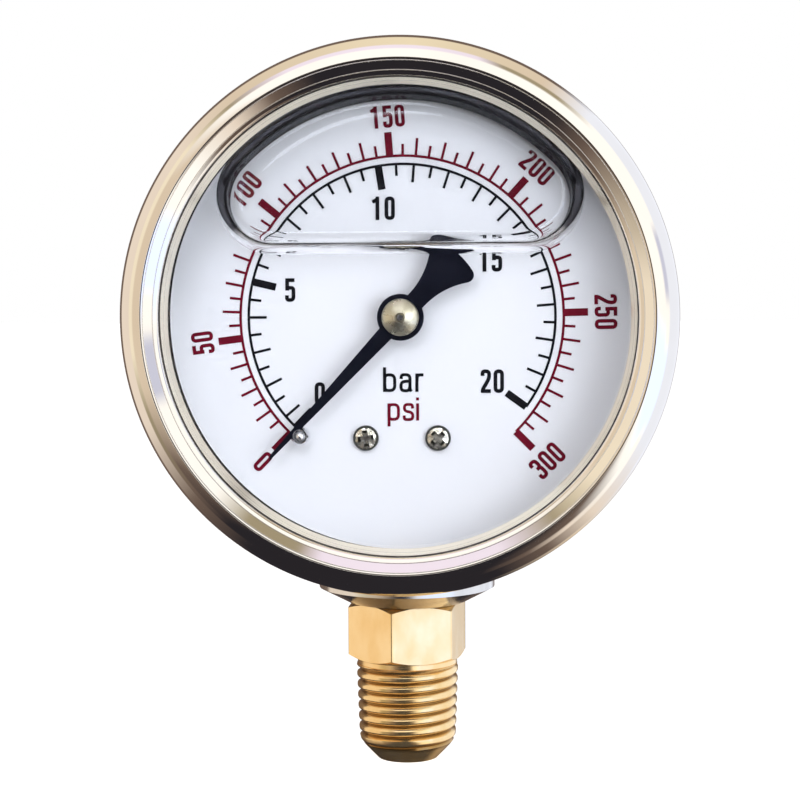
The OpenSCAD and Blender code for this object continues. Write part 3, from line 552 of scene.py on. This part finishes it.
def block():
    """What the CAD's stem has above the hexagon, in millimetres."""
    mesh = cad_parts["stem"].data.copy()
    mesh.transform(Matrix.Scale(1 / MM, 4))
    bm = bmesh.new()
    bm.from_mesh(mesh)
    bpy.data.meshes.remove(mesh)
    bmesh.ops.remove_doubles(bm, verts=bm.verts[:], dist=LOOSE_WELD)
    bmesh.ops.bisect_plane(bm, geom=bm.verts[:] + bm.edges[:] + bm.faces[:],
                           plane_co=(0, 0, HEX_TOP - HEX_IN_BLOCK), plane_no=(0, 0, 1),
                           clear_inner=True)
    return bm


def stem():
    roots = [(thread_limit(z) - THREAD_HEIGHT + CORE_OVER_ROOT, z) for z in CORE_HEIGHTS]
    edge = [(thread_limit(0) - inward, z) for inward, z in END_EDGE]
    neck_top = HEX_LOW + CORE_IN_HEX
    core = turned([(0, PORT_DEPTH), (PORT_RADIUS, PORT_DEPTH), (PORT_RADIUS, PORT_CHAMFER),
                   (PORT_RADIUS + PORT_CHAMFER, 0), *edge, *roots, (NECK_RADIUS, NECK_FROM),
                   (NECK_RADIUS, neck_top), (0, neck_top)], 96)
    for part in (thread(), hexagon(), block()):
        joined(core, part)
    placed("stem_machined", core, [stem_brass], "case", "stem", on_dial=False,
           crisp=20)


stem()


# Glycerin with its air bubble. The bubble is a pillow, flat against the dial and the window.

LIQUID_BACK, LIQUID_FRONT, LIQUID_RADIUS = 5.3, 14.25, 30.7
BUBBLE_LEVEL, BUBBLE_RADIUS, BUBBLE_CORNER = 7.9, 29.2, 7.3
MENISCUS, MENISCUS_STEPS, FLAT_EDGE, FILM = 2.9, 16, 0.15, 0.08


def bubble_outline():
    """Level line below, rounded ends, and the curve of the case above."""
    up = BUBBLE_LEVEL + BUBBLE_CORNER
    across = math.sqrt((BUBBLE_RADIUS - BUBBLE_CORNER) ** 2 - up ** 2)
    side = math.degrees(math.atan2(up, across))
    return (arc(across, up, BUBBLE_CORNER, -90, side, 72)
            + arc(0, 0, BUBBLE_RADIUS, side, 180 - side, 300)[1:-1]
            + arc(-across, up, BUBBLE_CORNER, 180 - side, 270, 72))


def bubble():
    """Half a pillow raised from its outline by insets, mirrored and then turned inside out."""
    bm = bmesh.new()
    face = bm.faces.new([bm.verts.new((x, y, 0)) for x, y in bubble_outline()])
    half = (WINDOW_BACK - DIAL_FRONT) / 2 - 2 * FILM
    quarter = [math.pi / 2 * i / MENISCUS_STEPS for i in range(MENISCUS_STEPS + 1)]
    insets = [(MENISCUS * (math.cos(a) - math.cos(b)), half * (math.sin(b) - math.sin(a)))
              for a, b in zip(quarter, quarter[1:])]
    for inward, upward in insets + [(FLAT_EDGE, 0)]:
        bmesh.ops.inset_region(bm, faces=[face], thickness=inward, depth=upward,
                               use_even_offset=True, use_boundary=True)
    bmesh.ops.mirror(bm, geom=bm.verts[:] + bm.edges[:] + bm.faces[:],
                     matrix=Matrix.Identity(4), merge_dist=LOOSE_WELD, axis="Z")
    bmesh.ops.remove_doubles(bm, verts=bm.verts[:], dist=LOOSE_WELD)
    bmesh.ops.recalc_face_normals(bm, faces=bm.faces[:])
    bmesh.ops.reverse_faces(bm, faces=bm.faces[:])
    bmesh.ops.scale(bm, vec=(1, 1, half / max(v.co.z for v in bm.verts)), verts=bm.verts[:])
    bmesh.ops.translate(bm, vec=(0, 0, (DIAL_FRONT + WINDOW_BACK) / 2), verts=bm.verts[:])
    for face in bm.faces:
        face.material_index = 1
    return bm


def glycerin():
    liquid = turned([(0, LIQUID_BACK), (LIQUID_RADIUS, LIQUID_BACK),
                     (LIQUID_RADIUS, LIQUID_FRONT), (0, LIQUID_FRONT)], 96, closed=False)
    joined(liquid, bubble())
    placed("glycerin", liquid, [glycerin_clear, glycerin_level], "case", crisp=60)


glycerin()


# Dial sheet, which reaches the case wall, the two screws that hold it, and the stop pin

DIAL_RADIUS, DIAL_BORE = 29.62, 1.7
SCREW_ACROSS, SCREW_DROP, SCREW_TURNS = 4.6, 15.4, (8, 42)
SCREW_FACE, SCREW_HEAD, SCREW_SHANK = 1.34, 1.625, 0.8
SCREW_TOP, SCREW_DOME, SCREW_END = 6.6, 0.07, 2.0
SCREW_SIDE = [(1.42, SCREW_TOP - 0.16), (SCREW_HEAD, SCREW_TOP - 0.5), (SCREW_HEAD, DIAL_FRONT),
              (SCREW_SHANK, DIAL_FRONT), (SCREW_SHANK, SCREW_END)]
CROSS_LENGTH, CROSS_WIDTH, CROSS_DEPTH, CROSS_TAPER, CROSS_STEPS = 1.02, 0.34, 0.5, 0.66, 4
STOP_PLACE, STOP_RADIUS, STOP_LOW, STOP_TOP = (-12.85, -15.063), 1.195, 4.6, 9.2


def dial_sheet():
    profile = [(DIAL_BORE, DIAL_BACK), (DIAL_RADIUS, DIAL_BACK), (DIAL_RADIUS, DIAL_FRONT),
               (DIAL_BORE, DIAL_FRONT)]
    placed("dial_sheet", turned(profile, 160), [dial_white], "case", "dial")


def cross_outline(turn):
    """Outline of a cross recess, with as many points as the edge of the screw's face."""
    a, w = CROSS_LENGTH, CROSS_WIDTH
    corners = [(w, a), (w, w), (a, w), (a, -w), (w, -w), (w, -a),
               (-w, -a), (-w, -w), (-a, -w), (-a, w), (-w, w), (-w, a)]
    corners = [Matrix.Rotation(math.radians(turn), 2) @ Vector(c) for c in corners]
    return [(*a.lerp(b, i / CROSS_STEPS), SCREW_TOP)
            for a, b in zip(corners, corners[1:] + corners[:1]) for i in range(CROSS_STEPS)]


def screw(turn):
    """Pan head whose rim and cross recess walls are painted dark: painted shade."""
    bm = bmesh.new()
    points = cross_outline(turn)
    cross = outline(bm, points)
    rim = bmesh.ops.create_circle(bm, segments=len(points), radius=SCREW_FACE,
                                  matrix=Matrix.Translation((0, 0, SCREW_TOP - SCREW_DOME)))
    side = [e for e in bm.edges if e.verts[0] in rim["verts"]]
    bmesh.ops.bridge_loops(bm, edges=cross + side)
    bright = set(bm.faces)
    deep = drawn_on(bm, cross, lambda at: Vector((at.x * CROSS_TAPER, at.y * CROSS_TAPER,
                                                  SCREW_TOP - CROSS_DEPTH)))
    walls = set(bm.faces) - bright
    bmesh.ops.edgeloop_fill(bm, edges=deep)
    bright = set(bm.faces) - walls
    for radius, height in SCREW_SIDE:
        side = drawn_on(bm, side, lambda at: at_radius(at, radius, height))
    bmesh.ops.edgeloop_fill(bm, edges=side)
    for face in bm.faces:
        face.material_index = int(face not in bright)
    bmesh.ops.recalc_face_normals(bm, faces=bm.faces[:])
    return bm


def dial_screws():
    both = bmesh.new()
    for side, turn in zip((-1, 1), SCREW_TURNS):
        one = screw(turn)
        bmesh.ops.translate(one, vec=(side * SCREW_ACROSS, -SCREW_DROP, 0), verts=one.verts[:])
        joined(both, one)
    placed("dial_screw_heads", both, [screw_nickel, screw_painted_shade], "case",
           "dial_screws", crisp=35)


def stop_pin():
    """Chromed pin with a round head, where the pointer rests."""
    head = arc(0, STOP_TOP - STOP_RADIUS, STOP_RADIUS, 0, 90, 16)
    pin = turned([(0, STOP_LOW), (STOP_RADIUS, STOP_LOW), *head], 48, closed=False)
    bmesh.ops.translate(pin, vec=(*STOP_PLACE, 0), verts=pin.verts[:])
    placed("stop_pin_turned", pin, [pin_chrome], "case", "stop_pin", crisp=40)


dial_sheet()
dial_screws()
stop_pin()


# Pointer cap: its seat on the pointer, its rim, and the rings and button on its face

CAP_SEAT = [(0, 7.4), (1.2, 7.4), (1.2, 8.7), (2.35, 8.7), (2.35, 9.1)]
CAP_RIM = arc(2.1, 9.2, 0.25, 0, 70, 5)
CAP_FACE = [(1.2, 9.62), (0.62, 9.74), (0.56, 9.8), (0.5, 9.74), (0.42, 9.7), (0.34, 9.8),
            (0.2, 9.95), (0, 9.98)]
placed("cap_turned", turned(CAP_SEAT + CAP_RIM + CAP_FACE, 96, closed=False), [cap_metal],
       "pointer", "pointer_cap")


# Bourdon tube, with its angles round the dial's axis. Its first end, at TUBE_FIRST, is held in the
# stem's block.

TUBE_RADIUS, TUBE_WIDTH, TUBE_THICKNESS, TUBE_WALL = 22, 8, 3, 0.4
TUBE_FIRST, TUBE_SPAN, TUBE_STEPS = -94, 276, 138


def bourdon_tube():
    """Flat tube bent to a C. The real tube opens from its socket to its tip as the pressure rises;
    this piece is drawn at rest.
    """
    corner = TUBE_THICKNESS / 2
    side = TUBE_WIDTH / 2 - corner
    section = (arc(TUBE_RADIUS, side, corner, 0, 180, 10)
               + arc(TUBE_RADIUS, -side, corner, 180, 360, 10))
    bm = bmesh.new()
    outline(bm, [(r, 0, depth) for r, depth in section])
    rotated(bm, TUBE_FIRST)
    spun(bm, -math.radians(TUBE_SPAN), TUBE_STEPS)
    bmesh.ops.recalc_face_normals(bm, faces=bm.faces[:])
    bmesh.ops.solidify(bm, geom=bm.faces[:], thickness=TUBE_WALL)
    bmesh.ops.recalc_face_normals(bm, faces=bm.faces[:])
    tube = placed("bourdon_tube_drawn", bm, [spring_bronze], None,
                  "bourdon_tube")
    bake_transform(tube)


bourdon_tube()


# Printed numerals and units, drawn as the printer's master is: strokes of one width along a path.
# Each sign has its width and its strokes, which are a path and the radius of its corners. They are
# measured in heights of a numeral, or of a small letter without its stem, from the lower left
# corner.

STROKE, GAP, WIDE = 0.16, 0.105, 0.44
LOW, HIGH, NEAR, FAR = STROKE / 2, 1 - STROKE / 2, STROKE / 2, WIDE - STROKE / 2
NUMERALS = {
    "0": (WIDE, [([(NEAR, 0.5), (NEAR, HIGH), (FAR, HIGH), (FAR, LOW), (NEAR, LOW),
                   (NEAR, 0.5)], 0.2)]),
    "1": (WIDE, [([(0.24, 0), (0.24, 1)], 0), ([(0.27, 0.93), (0.17, 0.84), (0.02, 0.77)], 0.1)]),
    "2": (WIDE, [([(NEAR, 0.72), (NEAR, HIGH), (FAR, HIGH), (FAR, 0.62), (0.09, 0.15),
                   (0.085, 0.02)], 0.2),
                 ([(0.02, LOW), (0.43, LOW)], 0)]),
    "3": (WIDE, [([(NEAR, 0.73), (NEAR, HIGH), (FAR, HIGH), (FAR, 0.545), (0.16, 0.535)], 0.16),
                 ([(0.16, 0.535), (FAR, 0.525), (FAR, LOW), (NEAR, LOW), (NEAR, 0.29)], 0.2)]),
    "5": (WIDE, [([(0.41, HIGH), (0.095, HIGH), (0.095, 0.48)], 0),
                 ([(0.095, 0.49), (0.12, 0.595), (FAR, 0.6), (FAR, LOW), (NEAR, LOW),
                   (NEAR, 0.28)], 0.2)]),
}
THIN_STROKE, THIN_GAP = 0.17, 0.11
BOWL = [(0.09, 0.53), (0.09, 0.925), (0.63, 0.925), (0.63, 0.075), (0.09, 0.075), (0.09, 0.47)]
LETTERS = {
    "b": (0.78, [([(0.08, 0), (0.08, 1.34)], 0), (BOWL, 0.36)]),
    "p": (0.78, [([(0.08, -0.34), (0.08, 1)], 0), (BOWL, 0.36)]),
    "a": (0.76, [([(0.09, 0.70), (0.11, 0.925), (0.57, 0.94), (0.57, 0.12), (0.66, 0.03)], 0.3),
                 ([(0.57, 0.58), (0.08, 0.56), (0.08, 0.06), (0.50, 0.06), (0.57, 0.3)], 0.24)]),
    "r": (0.42, [([(0.08, 0), (0.08, 1)], 0), ([(0.08, 0.55), (0.10, 0.92), (0.44, 0.92)], 0.3)]),
    "s": (0.66, [([(0.56, 0.70), (0.54, 0.93), (0.09, 0.94), (0.08, 0.56), (0.57, 0.46),
                   (0.57, 0.06), (0.08, 0.06), (0.07, 0.30)], 0.26)]),
    "i": (0.16, [([(0.08, 0), (0.08, 1)], 0), ([(0.08, 1.17), (0.08, 1.34)], 0)]),
}
# Thickness of the ink, and how much each stroke lies above the last one, in heights of a sign
INK, OVERLAP = 0.05, 0.0006


def stroke(bm, path, width, level):
    """A flat line of one width: its two sides are set off from the path and bridged."""
    sides = ([], [])
    for i, point in enumerate(path):
        back = point - path[i - 1] if i else path[1] - point
        on = path[i + 1] - point if i + 1 < len(path) else back
        back, on = back.normalized(), on.normalized()
        way = (back + on).normalized()
        reach = width / 2 / max(0.5, math.sqrt((1 + back.dot(on)) / 2))
        for sign, side in zip((1, -1), sides):
            side.append(bm.verts.new((point.x - way.y * reach * sign,
                                      point.y + way.x * reach * sign, level)))
    edges = [bm.edges.new(pair) for side in sides for pair in zip(side, side[1:])]
    bmesh.ops.bridge_loops(bm, edges=edges)


def lettering(name, words, height, spot, turn, ink):
    """Printed words on the dial, about a spot of the photograph's frame, turned clockwise."""
    small = words[0] in LETTERS
    shapes, width, gap = (LETTERS, THIN_STROKE, THIN_GAP) if small else (NUMERALS, STROKE, GAP)
    bm = bmesh.new()
    across, level = 0.0, 0.0
    for sign in words:
        advance, strokes = shapes[sign]
        for points, radius in strokes:
            path = [p + Vector((across, 0)) for p in rounded(points, radius)]
            stroke(bm, path, width, level)
            level += OVERLAP
        across += advance + gap
    bmesh.ops.remove_doubles(bm, verts=bm.verts[:], dist=WELD)
    bmesh.ops.recalc_face_normals(bm, faces=bm.faces[:])
    bmesh.ops.translate(bm, vec=(-(across - gap) / 2, -0.5, 0), verts=bm.verts[:])
    bmesh.ops.scale(bm, vec=(height, height, height), verts=bm.verts[:])
    rotated(bm, -turn)
    bmesh.ops.translate(bm, vec=(*on_dial(*spot), DIAL_FRONT + INK), verts=bm.verts[:])
    bmesh.ops.solidify(bm, geom=bm.faces[:], thickness=INK)
    bmesh.ops.recalc_face_normals(bm, faces=bm.faces[:])
    placed(name, bm, [ink], "case")


# The dial's centre in the photograph's frame, and how much of that frame a millimetre takes up
SEEN_CENTRE, SEEN_SCALE = (402.2, 316.4), 7.85


def on_dial(x, y):
    """The photograph's frame to millimetres on the dial."""
    return (x - SEEN_CENTRE[0]) / SEEN_SCALE, (SEEN_CENTRE[1] - y) / SEEN_SCALE


OUTER_HEIGHT, INNER_HEIGHT, BAR_HEIGHT, PSI_HEIGHT = 2.85, 3.0, 2.34, 2.2
OUTER_FIGURES = [("0", (262, 461), -136), ("50", (202.4, 341.5), -97.3),
                 ("100", (243, 187), -50.9), ("150", (388, 116), -4.3), ("200", (538, 168), 42.3),
                 ("250", (605, 312), 88.9), ("300", (547, 460), -44.8)]
INNER_FIGURES = [("0", (320, 393)), ("5", (291, 289)), ("10", (383.3, 207.5)),
                 ("15", (491, 260)), ("20", (492.5, 380.6))]
for words, spot, turn in OUTER_FIGURES:
    lettering("psi_" + words, words, OUTER_HEIGHT, spot, turn, ink_red)
for words, spot in INNER_FIGURES:
    lettering("bar_" + words, words, INNER_HEIGHT, spot, 0, ink_black)
lettering("unit_bar", "bar", BAR_HEIGHT, (403.6, 381.9), 0, ink_black)
lettering("unit_psi", "psi", PSI_HEIGHT, (403.6, 411.2), 0, ink_red)


# Floor, light and camera

# The middle of the gauge's front, which the lamps face and round which the tent stands
GAUGE = Vector((0, -17, DIAL_HEIGHT))
FLOOR_SIZE, FLOOR_GLOW, ROOM_GLOW = 6, 0.85, 0.26


def floor():
    bpy.ops.mesh.primitive_plane_add(size=FLOOR_SIZE, location=(0, 0, 0))
    piece = bpy.context.object
    piece.name = "floor"
    material, tree, shader = finish("floor_white", (0.9, 0.9, 0.9), 0.9)
    path = tree.nodes.new("ShaderNodeLightPath")
    level = spread(tree, path.outputs["Is Camera Ray"], 0.0, FLOOR_GLOW, 0.0, 1.0)
    shader.inputs["Emission Color"].default_value = (1, 1, 1, 1)
    tree.links.new(level, shader.inputs["Emission Strength"])
    piece.data.materials.append(material)
    piece.visible_glossy = False
    piece.visible_transmission = False


def room():
    """White walls for the camera and for glass, a soft even light for the rest."""
    world = bpy.data.worlds.new("studio")
    bpy.context.scene.world = world
    world.use_nodes = True
    tree = world.node_tree
    back = tree.nodes["Background"]
    back.inputs["Color"].default_value = (1, 1, 1, 1)
    path = tree.nodes.new("ShaderNodeLightPath")
    seen = most(tree, [path.outputs[n] for n in ("Is Camera Ray", "Is Glossy Ray",
                                                 "Is Transmission Ray")])
    tree.links.new(spread(tree, seen, ROOM_GLOW, 1.0, 0.0, 1.0), back.inputs["Strength"])


# The light tent round the gauge, which only metal and glass show. Its cloths are named by colour.
# Each zone has the place from front to back where it ends, and its cloths, which run clockwise
# from above the gauge.
WHITE, COOL = (1.0, 0.99, 0.96), (0.80, 0.84, 0.94)
LILAC, GOLD = (0.85, 0.77, 0.90), (0.80, 0.70, 0.50)
CREAM, PEACH, TAN = (0.83, 0.74, 0.57), (0.76, 0.66, 0.56), (0.66, 0.55, 0.42)
OLIVE, BROWN, BLACK = (0.34, 0.29, 0.19), (0.14, 0.10, 0.08), (0.02, 0.018, 0.022)
HAZE, SKY = (0.56, 0.58, 0.72), (0.86, 1.0, 1.4)
ROUND_CAMERA = [(0, WHITE), (92, WHITE), (98, SKY), (118, SKY), (124, WHITE), (128, WHITE),
                (144, BROWN), (165, BLACK), (222, BLACK), (238, BROWN), (255, TAN), (298, TAN),
                (318, WHITE), (360, WHITE)]
IN_FRONT = [(0, LILAC), (14, LILAC), (20, OLIVE), (34, OLIVE), (44, WHITE), (69, WHITE),
            (73, HAZE), (85, HAZE), (89, WHITE), (97, WHITE), (100, SKY), (115, SKY),
            (119, WHITE), (130, WHITE), (145, PEACH), (155, BROWN), (166, BLACK), (222, BLACK),
            (232, BROWN), (250, OLIVE), (262, CREAM), (306, CREAM), (318, OLIVE), (332, LILAC),
            (360, LILAC)]
AT_SIDES = [(0, GOLD), (30, TAN), (42, COOL), (120, COOL), (138, PEACH), (150, BROWN),
            (162, BLACK), (216, BLACK), (230, BROWN), (248, PEACH), (305, PEACH), (320, TAN),
            (360, GOLD)]
BEHIND = [(0, BROWN), (32, BROWN), (42, COOL), (125, COOL), (145, TAN), (165, BLACK),
          (215, BLACK), (235, BROWN), (360, BROWN)]
FAR_BEHIND = [(0, BROWN), (360, BROWN)]
ZONES = [(-0.67, ROUND_CAMERA), (-0.40, IN_FRONT), (0.52, AT_SIDES), (0.90, BEHIND),
         (1.1, FAR_BEHIND)]
ZONE_FADE = 0.05
# The camera looks in through an opening, with its direction from the gauge and its two edges
OPENING, OPENING_OUTER, OPENING_INNER = (-0.064, -0.998, -0.017), 0.168, 0.156
TENT_RADIUS, TENT_GLOW, ON_DIAL = 0.9, 1.35, 1.6


def tent():
    bpy.ops.mesh.primitive_ico_sphere_add(subdivisions=4, radius=TENT_RADIUS,
                                          location=GAUGE * MM)
    piece = bpy.context.object
    piece.name = "light_tent"
    material = bpy.data.materials.new("tent_cloth")
    material.use_nodes = True
    tree = material.node_tree
    tree.nodes.remove(tree.nodes["Principled BSDF"])
    way = add(tree, "ShaderNodeVectorMath", own_place(tree), operation="NORMALIZE")
    parts = add(tree, "ShaderNodeSeparateXYZ", way.outputs["Vector"])
    clock = add(tree, "ShaderNodeMath", parts.outputs["X"], parts.outputs["Z"],
                operation="ARCTAN2")
    turn = add(tree, "ShaderNodeMath", clock.outputs[0], 0, math.tau, operation="WRAP")
    share = spread(tree, turn.outputs[0], 0.0, 1.0, 0.0, math.tau)
    colour = colours_along(tree, share, ZONES[0][1], 360)
    for (edge, _), (_, cloths) in zip(ZONES, ZONES[1:]):
        beyond = spread(tree, parts.outputs["Y"], 0.0, 1.0, edge - ZONE_FADE, edge + ZONE_FADE)
        colour = mixed(tree, beyond, colour, colours_along(tree, share, cloths, 360))
    away = add(tree, "ShaderNodeVectorMath", way.outputs["Vector"], OPENING,
               operation="DISTANCE")
    opening = spread(tree, away.outputs["Value"], 0.0, 1.0, OPENING_OUTER, OPENING_INNER)
    path = tree.nodes.new("ShaderNodeLightPath")
    level = spread(tree, path.outputs["Diffuse Depth"], TENT_GLOW, TENT_GLOW * ON_DIAL, 0.0, 1.0)
    glow = add(tree, "ShaderNodeEmission", mixed(tree, opening, colour, BLACK), level)
    tree.links.new(glow.outputs["Emission"], tree.nodes["Material Output"].inputs["Surface"])
    material.cycles.emission_sampling = "NONE"
    piece.data.materials.append(material)
    piece.visible_camera = False
    piece.visible_diffuse = False
    piece.visible_shadow = False


def lamp(name, spot, side, power, colour):
    """A square soft lamp that faces the gauge and isn't mirrored in it."""
    light = bpy.data.lights.new(name, "AREA")
    light.shape = "RECTANGLE"
    light.size = light.size_y = side * MM
    light.energy = power
    light.color = colour
    piece = bpy.data.objects.new(name, light)
    bpy.context.scene.collection.objects.link(piece)
    piece.location = Vector(spot) * MM
    piece.rotation_mode = "QUATERNION"
    piece.rotation_quaternion = (Vector(spot) - GAUGE).to_track_quat("Z", "Y")
    piece.visible_glossy = False


floor()
room()
tent()
lamp("key", (205, -370, 80), 190, 0.60, (0.84, 0.90, 1.0))
lamp("fill", (-60, -380, 205), 120, 0.28, (0.84, 0.89, 1.0))

CAMERA_SPOT, CAMERA_AIM = Vector((15.1, -251.8, 62.6)), Vector((0.27, -17, 48.53))
CAMERA_SENSOR, CAMERA_LENS, CAMERA_ROLL = 36, 86.18, -0.32


def camera():
    data = bpy.data.cameras.new("camera")
    data.sensor_width = CAMERA_SENSOR
    data.lens = CAMERA_LENS
    data.clip_start = 0.01
    piece = bpy.data.objects.new("camera", data)
    bpy.context.scene.collection.objects.link(piece)
    piece.location = CAMERA_SPOT * MM
    piece.rotation_mode = "QUATERNION"
    roll = Quaternion((0, 0, 1), math.radians(CAMERA_ROLL))
    piece.rotation_quaternion = (CAMERA_AIM - CAMERA_SPOT).to_track_quat("-Z", "Y") @ roll
    bpy.context.scene.camera = piece


camera()
bpy.context.scene.view_settings.view_transform = "Standard"
